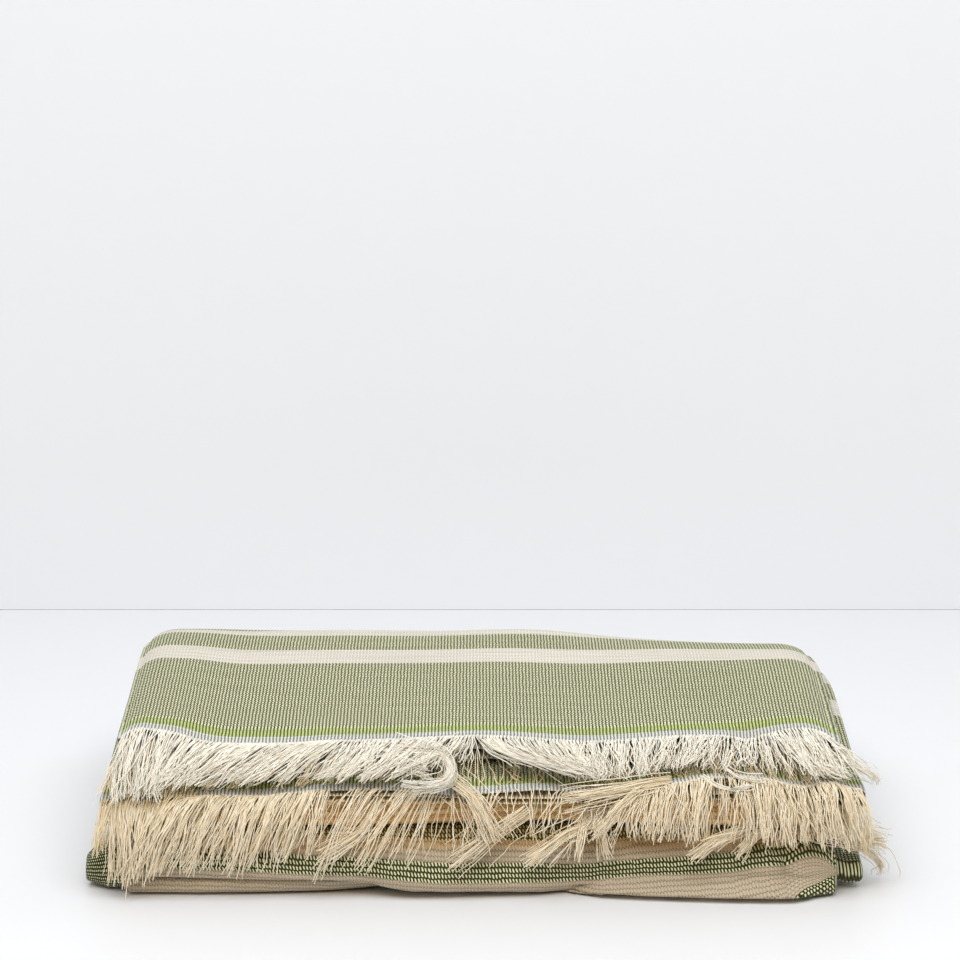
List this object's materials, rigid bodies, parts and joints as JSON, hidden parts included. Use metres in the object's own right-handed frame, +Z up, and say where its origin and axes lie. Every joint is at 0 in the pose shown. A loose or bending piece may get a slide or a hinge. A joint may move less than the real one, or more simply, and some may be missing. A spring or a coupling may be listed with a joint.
{
  "type": "folded beach towel",
  "caption": "Flat-woven cotton beach towel with crosswise stripes and loose fringe at both short ends, folded into a soft rectangular stack with the fringed ends at the front.",
  "frame": {"origin": "middle of the whole folded towel's outline, on the surface that it lies on", "axes": "+X to the right along the fringed front, +Y to the rear, where the outer fold is, +Z up through the folded layers"},
  "size_m": [0.3444, 0.2344, 0.0787],
  "materials": {
    "towel_cloth": "matte flat weave of sage green weft on ecru warp, with cream, lime and pale grey stripes",
    "fringe": "matte ecru cotton warp yarn, loose ends"
  },
  "bodies": {
    "root": {"towel_cloth": "towel_cloth", "fringe_upper": "fringe", "fringe_lower": "fringe"}
  },
  "joints": []
}
